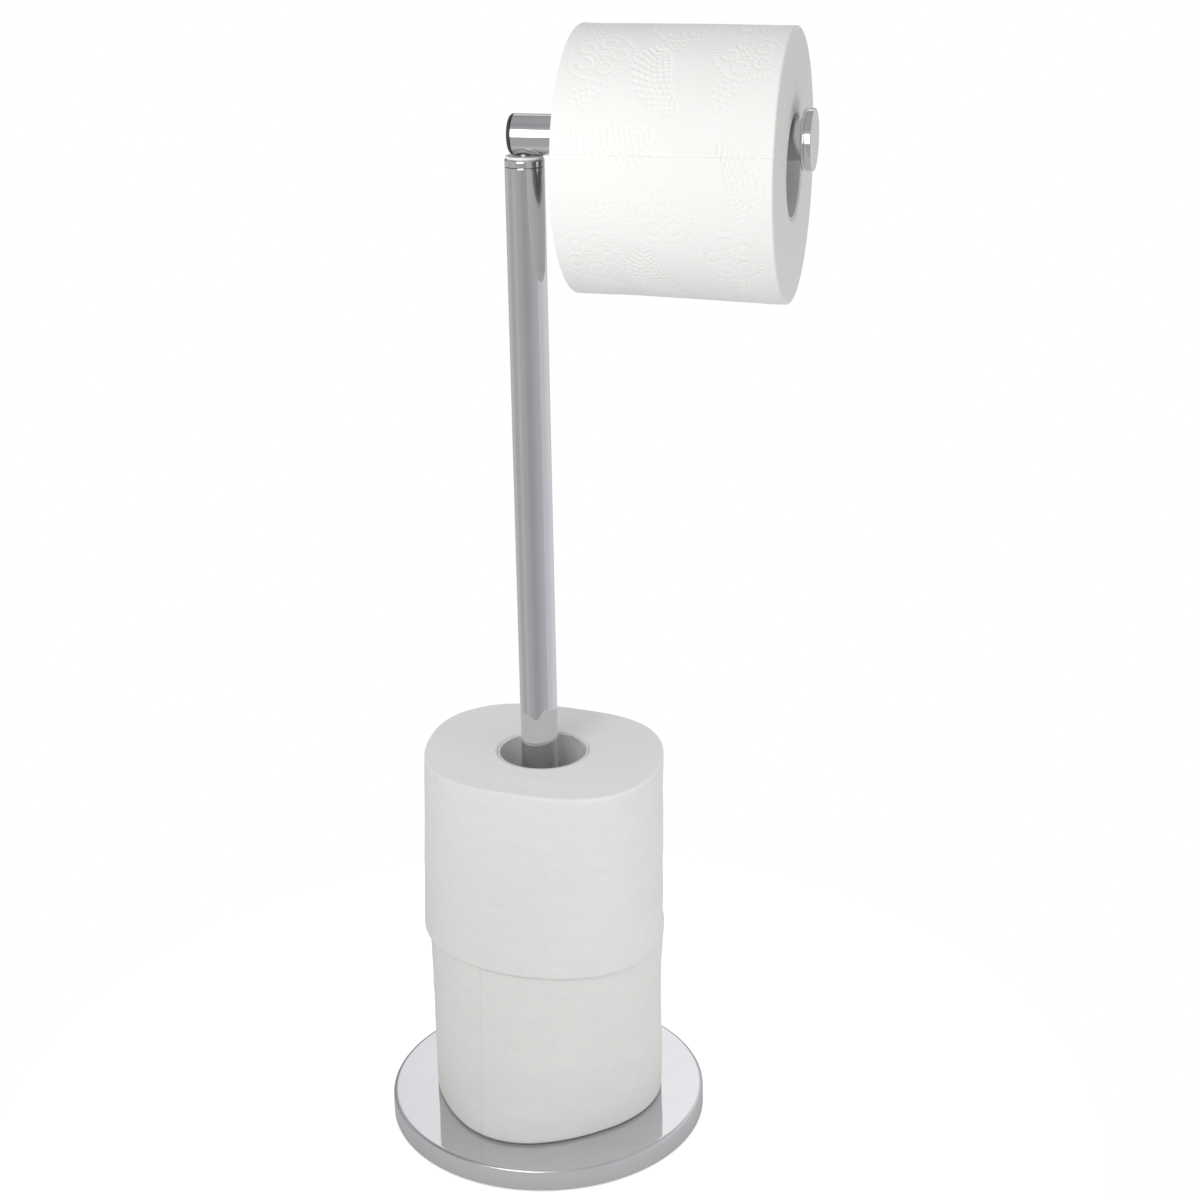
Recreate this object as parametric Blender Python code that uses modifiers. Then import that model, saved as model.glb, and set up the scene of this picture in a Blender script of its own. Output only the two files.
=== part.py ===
"""Freestanding toilet paper holder: a weighted round foot, a tube post, and a tube arm that plugs into
the post's head, with one roll hung on the arm and two spare rolls stacked over the post.

Metres, +Z up. The origin is on the floor, on the post's axis. The arm runs along +X, and the
photographed side faces -Y.
"""
import math

import bmesh
import bpy

# Fits, shared by every piece
SEAT_GAP = 0.0003  # between two faces that rest on each other
FIT_GAP = 0.0003  # on the radius, between a hole and what is in it
OVERRUN = 0.002  # how far a cutter runs past the piece it cuts
MERGE_DISTANCE = 0.00001

# Foot: a pressed sheet shell over a cast weight, on a soft pad
BASE_DIAMETER = 0.170
BASE_WALL = 0.001
BASE_EDGE_RADIUS = 0.0016
PAD_THICKNESS = 0.002
PAD_REVEAL = 0.001  # how far the pad stands below the shell's rim
PAD_MARGIN = 0.004  # from the shell's inner wall to the pad
WEIGHT_MARGIN = 0.0015  # from the shell's inner wall to the weight
WEIGHT_CHAMFER = 0.0015
WEIGHT_WEB = 0.002  # the weight's iron above the bolt's recess
RECESS_MARGIN = 0.002  # round the large washer

# Bolt from below, with its two washers
BOLT_DIAMETER = 0.006
BOLT_HEAD_DIAMETER = 0.0105
BOLT_HEAD_HEIGHT = 0.0033
BOLT_CHAMFER = 0.0007
BOLT_GRIP = 0.012  # thread inside the post's foot
KEY_SIZE = 0.004  # across the flats of the hexagon socket
KEY_DEPTH = 0.002
LOCK_WASHER_DIAMETER = 0.0118
LOCK_WASHER_THICKNESS = 0.0013
LOCK_WASHER_SLIT = 0.001
WASHER_DIAMETER = 0.018
WASHER_THICKNESS = 0.0012

# Tube of the post and of the arm
TUBE_DIAMETER = 0.019
TUBE_WALL = 0.001
POST_TUBE_LENGTH = 0.4984
FOOT_INSERT_LENGTH = 0.020
FOOT_INSERT_CHAMFER = 0.001
HEAD_FLANGE_THICKNESS = 0.0036
HEAD_PLUG_LENGTH = 0.026
HEAD_EDGE_RADIUS = 0.0010

# Swivel: a flanged bush in the post's head, and the arm's spigot in the bush
SPIGOT_DIAMETER = 0.008
SPIGOT_TIP_CHAMFER = 0.0012
SPIGOT_STUD_DIAMETER = 0.005
SPIGOT_TIP_SHORT = 0.002  # how far the spigot ends inside the bush
BUSH_WALL = 0.0013
BUSH_FLANGE_WIDTH = 0.0018
BUSH_FLANGE_THICKNESS = 0.0008
BUSH_LENGTH = 0.022
BUSH_CHAMFER = 0.0005
BUSH_SLIT_WIDTH = 0.0012
BUSH_SLIT_LENGTH = 0.013

# Arm
ARM_TAIL_LENGTH = 0.0064  # from the post's axis to the arm's near end
CAP_FLANGE_THICKNESS = 0.0018
CAP_EDGE_RADIUS = 0.0016
CAP_SKIRT_LENGTH = 0.0007
SADDLE_NUT_LENGTH = 0.0105
SADDLE_NUT_RISE = 0.002  # its flat top, above the arm's axis
FRONT_INSERT_LENGTH = 0.014
END_STOP_DIAMETER = 0.028
END_STOP_THICKNESS = 0.0049
END_STOP_EDGE_RADIUS = 0.0004
END_STOP_GROOVE_DEPTH = 0.0004
END_STOP_GROOVE_WIDTH = 0.0007
END_STOP_BEAD = 0.0015  # the narrow ring behind the groove
END_STUD_DIAMETER = 0.005
END_STUD_IN_STOP = 0.003
END_STUD_IN_ARM = 0.011
END_STUD_CHAMFER = 0.0005

# Paper rolls
ROLL_DIAMETER = 0.123
ROLL_LENGTH = 0.0994
CORE_INNER_DIAMETER = 0.045
CORE_WALL = 0.001
CORE_SHORT = 0.0004  # how far the core lies below each end of the paper
SHEET_LAP = 0.0004  # step at the free edge of the last sheet
SHEET_EDGE_WIDTH = 0.00025  # along the outline, over which that step rises
ARM_ROLL_TO_POST = 0.0185  # from the post's side to the near end of the roll on the arm
ARM_ROLL_PLAY = 0.0044  # from the far end of that roll to the end stop
ARM_ROLL_RIM_RADIUS = 0.0008
SPARE_ROLL_RIM_RADIUS = 0.0018
LOWER_ROLL_OFFSET = (0.0005, 0.0008)  # from the post's axis
UPPER_ROLL_OFFSET = (0.0020, -0.0008)

# How far a roll is out of round, at its lower end and at its upper end
ROUND_SHARES = (0.0, 0.0)
LOWER_ROLL_SQUARE_SHARES = (0.030, 0.028)
LOWER_ROLL_OVAL_SHARES = (0.020, 0.020)
UPPER_ROLL_SQUARE_SHARES = (0.010, 0.036)
UPPER_ROLL_OVAL_SHARES = (0.060, 0.075)

# How far a roll's two end outlines stand off its own axis
CENTRED = ((0.0, 0.0), (0.0, 0.0))
ARM_ROLL_OUTLINE_OFFSETS = ((-0.0017, 0.0), (-0.0011, 0.0))
UPPER_ROLL_OUTLINE_OFFSETS = ((-0.0019, -0.0026), (0.0002, 0.0004))

# Angles about a roll's own axis
ARM_SHEET_EDGE_ANGLE = math.radians(258.0)
LOWER_SHEET_EDGE_ANGLE = math.radians(251.0)
UPPER_SHEET_EDGE_ANGLE = math.radians(75.0)
LOWER_CORNER_ANGLE = math.radians(82.0)
LOWER_OVAL_ANGLE = math.radians(68.0)
UPPER_CORNER_ANGLE = math.radians(45.0)
UPPER_OVAL_ANGLE = math.radians(158.0)

# Facets round a full turn, and along a rounded edge
BASE_STEPS = 64
TUBE_STEPS = 48
SMALL_STEPS = 28
ROLL_STEPS = 64
EDGE_STEPS = 3
DOME_STEPS = 4
SHARP_ANGLE = math.radians(32.0)

# Radii that several pieces share
base_radius = BASE_DIAMETER / 2
base_inner_radius = base_radius - BASE_WALL
bolt_radius = BOLT_DIAMETER / 2
bolt_hole_radius = bolt_radius + FIT_GAP
tube_radius = TUBE_DIAMETER / 2
plug_radius = tube_radius - TUBE_WALL - FIT_GAP
spigot_radius = SPIGOT_DIAMETER / 2
spigot_stud_radius = SPIGOT_STUD_DIAMETER / 2
bush_inner_radius = spigot_radius + FIT_GAP
bush_outer_radius = bush_inner_radius + BUSH_WALL
end_stud_radius = END_STUD_DIAMETER / 2
roll_radius = ROLL_DIAMETER / 2
core_radius = CORE_INNER_DIAMETER / 2
core_outer_radius = core_radius + CORE_WALL

# Heights from the floor up
weight_bottom = PAD_THICKNESS + SEAT_GAP
bolt_bottom = weight_bottom + SEAT_GAP
bolt_head_top = bolt_bottom + BOLT_HEAD_HEIGHT
lock_washer_bottom = bolt_head_top + SEAT_GAP
washer_bottom = lock_washer_bottom + LOCK_WASHER_THICKNESS + SEAT_GAP
recess_top = washer_bottom + WASHER_THICKNESS + SEAT_GAP
weight_top = recess_top + WEIGHT_WEB
base_top = weight_top + SEAT_GAP + BASE_WALL
post_bottom = base_top + SEAT_GAP
post_tube_top = post_bottom + POST_TUBE_LENGTH
head_top = post_tube_top + SEAT_GAP + HEAD_FLANGE_THICKNESS
bush_flange_bottom = head_top + SEAT_GAP
bush_flange_top = bush_flange_bottom + BUSH_FLANGE_THICKNESS
arm_height = bush_flange_top + SEAT_GAP + tube_radius
hung_roll_height = arm_height + tube_radius + SEAT_GAP - core_radius
lower_roll_bottom = base_top + SEAT_GAP
upper_roll_bottom = lower_roll_bottom + ROLL_LENGTH + SEAT_GAP

# Places along the arm
arm_tail = -ARM_TAIL_LENGTH
cap_inner_face = arm_tail + CAP_FLANGE_THICKNESS
arm_tube_start = cap_inner_face + SEAT_GAP
saddle_nut_start = cap_inner_face + CAP_SKIRT_LENGTH + SEAT_GAP
saddle_nut_end = saddle_nut_start + SADDLE_NUT_LENGTH
hung_roll_start = tube_radius + ARM_ROLL_TO_POST
hung_roll_end = hung_roll_start + ROLL_LENGTH
end_stop_back = hung_roll_end + ARM_ROLL_PLAY
arm_tube_end = end_stop_back - SEAT_GAP
end_stop_front = end_stop_back + END_STOP_THICKNESS


def remove_everything():
    for obj in list(bpy.data.objects):
        bpy.data.objects.remove(obj, do_unlink=True)


def new_collection(name):
    collection = bpy.data.collections.new(name)
    bpy.context.scene.collection.children.link(collection)
    return collection


def new_material(name, colour, roughness, metallic=0.0):
    material = bpy.data.materials.new(name)
    material.use_nodes = True
    shader = material.node_tree.nodes["Principled BSDF"]
    shader.inputs["Base Color"].default_value = (*colour, 1.0)
    shader.inputs["Roughness"].default_value = roughness
    shader.inputs["Metallic"].default_value = metallic
    material.diffuse_color = (*colour, 1.0)
    return material


def new_pivot(name, location, parent=None):
    """An empty on a joint's axis. What moves with the joint hangs under it."""
    pivot = bpy.data.objects.new(name, None)
    pivot.location = location
    pivot.parent = parent
    pivot.empty_display_size = TUBE_DIAMETER
    parts.objects.link(pivot)
    return pivot


def place(obj, parent, location=(0.0, 0.0, 0.0), lies_along_x=False):
    """Put a piece under its pivot. A piece turned about Z lies along the arm after a quarter turn."""
    obj.parent = parent
    obj.location = location
    if lies_along_x:
        obj.rotation_euler = (0.0, math.pi / 2, 0.0)
    return obj


def turned(name, outline, steps, ring=False):
    """Revolve (radius, height) points about local Z. They run down the outer side.

    A ring's outline closes on itself. A solid's outline starts and ends on the axis.
    """
    mesh = bpy.data.meshes.new(name)
    points = [(radius, 0.0, height) for radius, height in outline]
    edges = [(i, i + 1) for i in range(len(points) - 1)]
    if ring:
        edges.append((len(points) - 1, 0))
    mesh.from_pydata(points, edges, [])
    obj = bpy.data.objects.new(name, mesh)
    parts.objects.link(obj)
    screw = obj.modifiers.new("Turn", "SCREW")
    screw.steps = steps
    screw.render_steps = steps
    screw.use_merge_vertices = True
    screw.merge_threshold = MERGE_DISTANCE
    return obj


def rounded_corner(radius, height, edge_radius, downwards=True, steps=EDGE_STEPS):
    """Points round an outer corner at (radius, height): its top corner, or its bottom one."""
    points = []
    for i in range(steps + 1):
        angle = math.pi / 2 * i / steps
        inset = edge_radius * (1 - math.sin(angle))
        drop = edge_radius * (1 - math.cos(angle))
        points.append((radius - inset, height - drop) if downwards else (radius - inset, height + drop))
    return points if downwards else points[::-1]


def ring_outline(inner_radius, outer_radius, bottom, top):
    return [(inner_radius, top), (outer_radius, top), (outer_radius, bottom), (inner_radius, bottom)]


def new_cutter(name, shape, parent, location):
    """A hidden body that is cut out of a piece."""
    mesh = bpy.data.meshes.new(name)
    shape.to_mesh(mesh)
    shape.free()
    obj = bpy.data.objects.new(name, mesh)
    obj.hide_render = True
    obj.display_type = "WIRE"
    cutters.objects.link(obj)
    return place(obj, parent, location)


def round_cutter(name, radius, bottom, top, parent, sides=SMALL_STEPS):
    """An upright prism on its parent's axis."""
    shape = bmesh.new()
    bmesh.ops.create_cone(
        shape, cap_ends=True, segments=sides, radius1=radius, radius2=radius, depth=top - bottom)
    return new_cutter(name, shape, parent, (0.0, 0.0, (bottom + top) / 2))


def box_cutter(name, low, high, parent):
    shape = bmesh.new()
    bmesh.ops.create_cube(shape, size=1.0)
    bmesh.ops.scale(shape, vec=[b - a for a, b in zip(low, high)], verts=shape.verts)
    return new_cutter(name, shape, parent, [(a + b) / 2 for a, b in zip(low, high)])


def cut(obj, *tools):
    for tool in tools:
        boolean = obj.modifiers.new("Cut", "BOOLEAN")
        boolean.operation = "DIFFERENCE"
        boolean.solver = "EXACT"
        boolean.object = tool
    return obj


def out_of_round(angle, square_share, corner_angle, oval_share, oval_angle):
    """The factor on a squashed roll's radius: four soft corners, and one longer diagonal."""
    square = square_share * math.cos(4 * (angle - corner_angle))
    oval = oval_share * math.cos(2 * (angle - oval_angle))
    return 1 + square + oval


def between(ends, rise):
    return ends[0] + (ends[1] - ends[0]) * rise


def wound_paper(name, rim_radius, sheet_edge_angle, square_shares=ROUND_SHARES, corner_angle=0.0,
                oval_shares=ROUND_SHARES, oval_angle=0.0, outline_offsets=CENTRED):
    """A roll's paper about local Z, from height 0 up: a loft between its two unlike end outlines.

    The last sheet's free edge is a small step, from which the outline winds in over one turn.
    """
    section = [(0.0, None)]
    for i in range(EDGE_STEPS + 1):
        angle = math.pi / 2 * i / EDGE_STEPS
        section.append((rim_radius * (1 - math.cos(angle)), rim_radius * (1 - math.sin(angle))))
    section += [(ROLL_LENGTH - height, inset) for height, inset in section[:0:-1]]
    section.append((ROLL_LENGTH, None))

    turns = [i / ROLL_STEPS for i in range(ROLL_STEPS)]
    turns.append(1 - SHEET_EDGE_WIDTH / (2 * math.pi * roll_radius))
    hole_radius = core_outer_radius + FIT_GAP

    shape = bmesh.new()
    columns = []
    for turn in turns:
        angle = sheet_edge_angle + 2 * math.pi * turn
        column = []
        for height, inset in section:
            radius, x, y = hole_radius, 0.0, 0.0
            if inset is not None:
                rise = height / ROLL_LENGTH
                factor = out_of_round(
                    angle, between(square_shares, rise), corner_angle, between(oval_shares, rise), oval_angle)
                radius = roll_radius * factor + SHEET_LAP * (1 - turn) - inset
                x, y = (between(ends, rise) for ends in zip(*outline_offsets))
            place_x, place_y = x + radius * math.cos(angle), y + radius * math.sin(angle)
            column.append(shape.verts.new((place_x, place_y, height)))
        columns.append(column)
    for this, following in zip(columns, columns[1:] + columns[:1]):
        for i in range(len(section)):
            j = (i + 1) % len(section)
            shape.faces.new((this[i], following[i], following[j], this[j]))
    bmesh.ops.recalc_face_normals(shape, faces=shape.faces)
    mesh = bpy.data.meshes.new(name)
    shape.to_mesh(mesh)
    shape.free()
    obj = bpy.data.objects.new(name, mesh)
    parts.objects.link(obj)
    return obj


def build_foot():
    shell_outline = [(bolt_hole_radius, base_top)]
    shell_outline += rounded_corner(base_radius, base_top, BASE_EDGE_RADIUS, steps=DOME_STEPS)
    shell_outline.append((base_radius, PAD_REVEAL))
    shell = place(turned("base_shell", shell_outline, BASE_STEPS), stand)
    solidify = shell.modifiers.new("Sheet", "SOLIDIFY")
    solidify.thickness = BASE_WALL
    solidify.offset = -1.0
    shell.data.materials.append(chrome)

    weight_radius = base_inner_radius - WEIGHT_MARGIN
    recess_radius = WASHER_DIAMETER / 2 + RECESS_MARGIN
    weight_outline = [
        (bolt_hole_radius, weight_top),
        (weight_radius - WEIGHT_CHAMFER, weight_top),
        (weight_radius, weight_top - WEIGHT_CHAMFER),
        (weight_radius, weight_bottom),
        (recess_radius, weight_bottom),
        (recess_radius, recess_top),
        (bolt_hole_radius, recess_top),
    ]
    weight = place(turned("base_weight", weight_outline, BASE_STEPS, ring=True), stand)
    weight.data.materials.append(iron)

    pad_radius = base_inner_radius - PAD_MARGIN
    pad_outline = [(0.0, PAD_THICKNESS), (pad_radius, PAD_THICKNESS), (pad_radius, 0.0), (0.0, 0.0)]
    pad = place(turned("base_pad", pad_outline, BASE_STEPS), stand)
    pad.data.materials.append(foam)


def build_bolt():
    bolt_tip = post_bottom + BOLT_GRIP
    key_radius = KEY_SIZE / math.sqrt(3)
    dome_flat_radius = (key_radius + BOLT_HEAD_DIAMETER / 2) / 2
    outline = [
        (0.0, bolt_tip),
        (bolt_radius - BOLT_CHAMFER, bolt_tip),
        (bolt_radius, bolt_tip - BOLT_CHAMFER),
        (bolt_radius, bolt_head_top),
    ]
    for i in range(DOME_STEPS + 1):
        angle = math.pi / 2 * i / DOME_STEPS
        radius = dome_flat_radius + (BOLT_HEAD_DIAMETER / 2 - dome_flat_radius) * math.cos(angle)
        outline.append((radius, bolt_head_top - BOLT_HEAD_HEIGHT * math.sin(angle)))
    outline.append((0.0, bolt_bottom))
    bolt = place(turned("base_bolt", outline, SMALL_STEPS), stand)
    key = round_cutter(
        "key_socket", key_radius, bolt_bottom - OVERRUN, bolt_bottom + KEY_DEPTH, stand, sides=6)
    cut(bolt, key).data.materials.append(zinc)

    lock_washer_top = lock_washer_bottom + LOCK_WASHER_THICKNESS
    lock_outline = ring_outline(
        bolt_hole_radius, LOCK_WASHER_DIAMETER / 2, lock_washer_bottom, lock_washer_top)
    lock_washer = place(turned("base_lock_washer", lock_outline, SMALL_STEPS, ring=True), stand)
    slit = box_cutter(
        "lock_washer_slit",
        (0.0, -LOCK_WASHER_SLIT / 2, lock_washer_bottom - OVERRUN),
        (LOCK_WASHER_DIAMETER, LOCK_WASHER_SLIT / 2, lock_washer_top + OVERRUN),
        stand)
    cut(lock_washer, slit).data.materials.append(zinc)

    washer_outline = ring_outline(
        bolt_hole_radius, WASHER_DIAMETER / 2, washer_bottom, washer_bottom + WASHER_THICKNESS)
    washer = place(turned("base_washer", washer_outline, SMALL_STEPS, ring=True), stand)
    washer.data.materials.append(zinc)


def build_post():
    tube_outline = ring_outline(tube_radius - TUBE_WALL, tube_radius, post_bottom, post_tube_top)
    tube = place(turned("post_tube", tube_outline, TUBE_STEPS, ring=True), stand)
    tube.data.materials.append(chrome)

    insert_top = post_bottom + FOOT_INSERT_LENGTH
    bore_top = (post_bottom + BOLT_GRIP + insert_top) / 2
    insert_outline = [
        (0.0, insert_top),
        (plug_radius - FOOT_INSERT_CHAMFER, insert_top),
        (plug_radius, insert_top - FOOT_INSERT_CHAMFER),
        (plug_radius, post_bottom),
        (bolt_hole_radius, post_bottom),
        (bolt_hole_radius, bore_top),
        (0.0, bore_top),
    ]
    insert = place(turned("post_foot_insert", insert_outline, TUBE_STEPS), stand)
    insert.data.materials.append(zinc)

    head_bore_radius = bush_outer_radius + FIT_GAP
    flange_bottom = head_top - HEAD_FLANGE_THICKNESS
    head_outline = [(head_bore_radius, head_top)]
    head_outline += rounded_corner(tube_radius, head_top, HEAD_EDGE_RADIUS)
    head_outline += [
        (tube_radius, flange_bottom),
        (plug_radius, flange_bottom),
        (plug_radius, flange_bottom - HEAD_PLUG_LENGTH),
        (head_bore_radius, flange_bottom - HEAD_PLUG_LENGTH),
    ]
    head = place(turned("post_head", head_outline, TUBE_STEPS, ring=True), stand)
    head.data.materials.append(chrome)


def build_swivel_bush():
    """The split sleeve grips the spigot, and its flange keeps the arm off the post's bright top."""
    flange_radius = bush_outer_radius + BUSH_FLANGE_WIDTH
    bottom = -BUSH_LENGTH
    outline = [
        (bush_inner_radius, BUSH_FLANGE_THICKNESS),
        (flange_radius, BUSH_FLANGE_THICKNESS),
        (flange_radius, 0.0),
        (bush_outer_radius, 0.0),
        (bush_outer_radius, bottom + BUSH_CHAMFER),
        (bush_outer_radius - BUSH_CHAMFER, bottom),
        (bush_inner_radius, bottom),
    ]
    bush = place(turned("swivel_bush", outline, SMALL_STEPS, ring=True), swivel_pivot)
    reach = bush_outer_radius + OVERRUN
    half_slit = BUSH_SLIT_WIDTH / 2
    slit_top = bottom + BUSH_SLIT_LENGTH
    along_x = box_cutter(
        "bush_slit_x", (-reach, -half_slit, bottom - OVERRUN), (reach, half_slit, slit_top), swivel_pivot)
    along_y = box_cutter(
        "bush_slit_y", (-half_slit, -reach, bottom - OVERRUN), (half_slit, reach, slit_top), swivel_pivot)
    cut(bush, along_x, along_y).data.materials.append(nylon)


def build_arm():
    """All heights here are from the arm's axis, which is where the arm's pivot lies."""
    tube_outline = ring_outline(tube_radius - TUBE_WALL, tube_radius, arm_tube_start, arm_tube_end)
    tube = place(turned("arm_tube", tube_outline, TUBE_STEPS, ring=True), arm_pivot, lies_along_x=True)
    stud_hole_radius = spigot_stud_radius + FIT_GAP
    stud_hole = round_cutter("stud_hole", stud_hole_radius, -tube_radius - OVERRUN, 0.0, arm_pivot)
    cut(tube, stud_hole).data.materials.append(chrome)

    spigot_shoulder = -tube_radius - SEAT_GAP
    bush_bottom = bush_flange_bottom - BUSH_LENGTH - arm_height
    spigot_tip = bush_bottom + SPIGOT_TIP_SHORT
    spigot_outline = [
        (0.0, SADDLE_NUT_RISE),
        (spigot_stud_radius, SADDLE_NUT_RISE),
        (spigot_stud_radius, spigot_shoulder),
        (spigot_radius, spigot_shoulder),
        (spigot_radius, spigot_tip + SPIGOT_TIP_CHAMFER),
        (spigot_radius - SPIGOT_TIP_CHAMFER, spigot_tip),
        (0.0, spigot_tip),
    ]
    spigot = place(turned("arm_spigot", spigot_outline, SMALL_STEPS), arm_pivot)
    spigot.data.materials.append(zinc)

    nut_outline = [(0.0, saddle_nut_end), (plug_radius, saddle_nut_end), (plug_radius, saddle_nut_start),
                   (0.0, saddle_nut_start)]
    nut = place(turned("saddle_nut", nut_outline, TUBE_STEPS), arm_pivot, lies_along_x=True)
    nut_hole = round_cutter(
        "nut_hole", stud_hole_radius, -tube_radius - OVERRUN, SADDLE_NUT_RISE + OVERRUN, arm_pivot)
    nut_top = box_cutter(
        "nut_top",
        (saddle_nut_start - OVERRUN, -tube_radius, SADDLE_NUT_RISE),
        (saddle_nut_end + OVERRUN, tube_radius, tube_radius),
        arm_pivot)
    cut(nut, nut_top, nut_hole).data.materials.append(zinc)

    skirt_end = cap_inner_face + CAP_SKIRT_LENGTH
    cap_outline = [
        (0.0, skirt_end),
        (plug_radius, skirt_end),
        (plug_radius, cap_inner_face),
        (tube_radius, cap_inner_face),
    ]
    cap_outline += rounded_corner(tube_radius, arm_tail, CAP_EDGE_RADIUS, downwards=False)
    cap_outline.append((0.0, arm_tail))
    cap = place(turned("arm_end_cap", cap_outline, TUBE_STEPS), arm_pivot, lies_along_x=True)
    cap.data.materials.append(dark_plastic)

    insert_outline = ring_outline(
        end_stud_radius + FIT_GAP, plug_radius, arm_tube_end - FRONT_INSERT_LENGTH, arm_tube_end)
    insert = place(
        turned("arm_front_insert", insert_outline, TUBE_STEPS, ring=True), arm_pivot, lies_along_x=True)
    insert.data.materials.append(zinc)


def build_end_stop():
    stop_radius = END_STOP_DIAMETER / 2
    stud_hole_radius = end_stud_radius + FIT_GAP
    groove_centre = end_stop_back + END_STOP_BEAD
    outline = [(0.0, end_stop_front)]
    outline += rounded_corner(stop_radius, end_stop_front, END_STOP_EDGE_RADIUS)
    outline += [
        (stop_radius, groove_centre + END_STOP_GROOVE_WIDTH / 2),
        (stop_radius - END_STOP_GROOVE_DEPTH, groove_centre),
        (stop_radius, groove_centre - END_STOP_GROOVE_WIDTH / 2),
    ]
    outline += rounded_corner(stop_radius, end_stop_back, END_STOP_EDGE_RADIUS, downwards=False)
    outline += [
        (stud_hole_radius, end_stop_back),
        (stud_hole_radius, end_stop_back + END_STUD_IN_STOP + SEAT_GAP),
        (0.0, end_stop_back + END_STUD_IN_STOP + SEAT_GAP),
    ]
    stop = place(turned("end_stop", outline, TUBE_STEPS), arm_pivot, lies_along_x=True)
    stop.data.materials.append(chrome)

    stud_front = end_stop_back + END_STUD_IN_STOP
    stud_back = end_stop_back - END_STUD_IN_ARM
    stud_outline = [
        (0.0, stud_front),
        (end_stud_radius - END_STUD_CHAMFER, stud_front),
        (end_stud_radius, stud_front - END_STUD_CHAMFER),
        (end_stud_radius, stud_back + END_STUD_CHAMFER),
        (end_stud_radius - END_STUD_CHAMFER, stud_back),
        (0.0, stud_back),
    ]
    stud = place(turned("end_stop_stud", stud_outline, SMALL_STEPS), arm_pivot, lies_along_x=True)
    stud.data.materials.append(zinc)


def build_core(name, pivot, start, lies_along_x=False):
    bottom = start + CORE_SHORT
    top = start + ROLL_LENGTH - CORE_SHORT
    outline = ring_outline(core_radius, core_outer_radius, bottom, top)
    core = place(turned(name, outline, TUBE_STEPS, ring=True), pivot, lies_along_x=lies_along_x)
    core.data.materials.append(board)


def build_rolls():
    build_core("arm_roll_core", arm_roll_pivot, -ROLL_LENGTH / 2, lies_along_x=True)
    arm_paper = wound_paper(
        "arm_roll_paper", ARM_ROLL_RIM_RADIUS, ARM_SHEET_EDGE_ANGLE,
        outline_offsets=ARM_ROLL_OUTLINE_OFFSETS)
    place(arm_paper, arm_roll_pivot, (-ROLL_LENGTH / 2, 0.0, 0.0), lies_along_x=True)
    arm_paper.data.materials.append(paper)

    build_core("spare_lower_core", lower_roll_pivot, 0.0)
    lower_paper = wound_paper(
        "spare_lower_paper", SPARE_ROLL_RIM_RADIUS, LOWER_SHEET_EDGE_ANGLE,
        LOWER_ROLL_SQUARE_SHARES, LOWER_CORNER_ANGLE, LOWER_ROLL_OVAL_SHARES, LOWER_OVAL_ANGLE)
    place(lower_paper, lower_roll_pivot).data.materials.append(paper)

    build_core("spare_upper_core", upper_roll_pivot, 0.0)
    upper_paper = wound_paper(
        "spare_upper_paper", SPARE_ROLL_RIM_RADIUS, UPPER_SHEET_EDGE_ANGLE,
        UPPER_ROLL_SQUARE_SHARES, UPPER_CORNER_ANGLE, UPPER_ROLL_OVAL_SHARES, UPPER_OVAL_ANGLE,
        UPPER_ROLL_OUTLINE_OFFSETS)
    place(upper_paper, upper_roll_pivot).data.materials.append(paper)


def finish_meshes():
    """Make each piece's modifiers real, and shade it smooth but for its sharp edges."""
    bpy.context.view_layer.update()
    depsgraph = bpy.context.evaluated_depsgraph_get()
    pieces = [obj for obj in parts.objects if obj.type == "MESH"]
    meshes = [bpy.data.meshes.new_from_object(piece.evaluated_get(depsgraph)) for piece in pieces]
    for piece, mesh in zip(pieces, meshes):
        piece.modifiers.clear()
        piece.data = mesh
        mesh.name = piece.name
        mesh.shade_smooth()
        mesh.set_sharp_from_angle(angle=SHARP_ANGLE)


remove_everything()
parts = new_collection("toilet_paper_holder")
cutters = new_collection("cutters")

chrome = new_material("chrome", (0.83, 0.84, 0.85), 0.06, 1.0)
iron = new_material("cast_iron", (0.12, 0.12, 0.12), 0.75, 0.6)
foam = new_material("foam", (0.05, 0.05, 0.05), 0.9)
zinc = new_material("zinc_plate", (0.62, 0.63, 0.64), 0.35, 1.0)
nylon = new_material("nylon", (0.86, 0.86, 0.84), 0.45)
dark_plastic = new_material("dark_plastic", (0.04, 0.04, 0.045), 0.4)
board = new_material("cardboard", (0.60, 0.57, 0.52), 0.9)
paper = new_material("paper", (0.86, 0.86, 0.85), 0.95)

stand = new_pivot("stand", (0.0, 0.0, 0.0))
swivel_pivot = new_pivot("swivel_pivot", (0.0, 0.0, bush_flange_bottom), stand)
arm_pivot = new_pivot("arm_pivot", (0.0, 0.0, arm_height - bush_flange_bottom), swivel_pivot)
arm_roll_pivot = new_pivot(
    "arm_roll_pivot", (hung_roll_start + ROLL_LENGTH / 2, 0.0, hung_roll_height - arm_height), arm_pivot)
lower_roll_pivot = new_pivot("lower_roll_pivot", (*LOWER_ROLL_OFFSET, lower_roll_bottom), stand)
upper_roll_pivot = new_pivot("upper_roll_pivot", (*UPPER_ROLL_OFFSET, upper_roll_bottom), stand)

build_foot()
build_bolt()
build_post()
build_swivel_bush()
build_arm()
build_end_stop()
build_rolls()
finish_meshes()
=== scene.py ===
"""The photographed look of a freestanding toilet paper holder: chrome, tissue, cardboard and studio.

Metres, +Z up, in the model's own frame. The post stands on Z, the arm runs along +X, and the
photographed side faces -Y. Azimuths in the studio are degrees from -Y, positive towards +X.
"""

import math

import bmesh
import bpy
import numpy as np
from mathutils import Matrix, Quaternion, Vector


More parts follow.
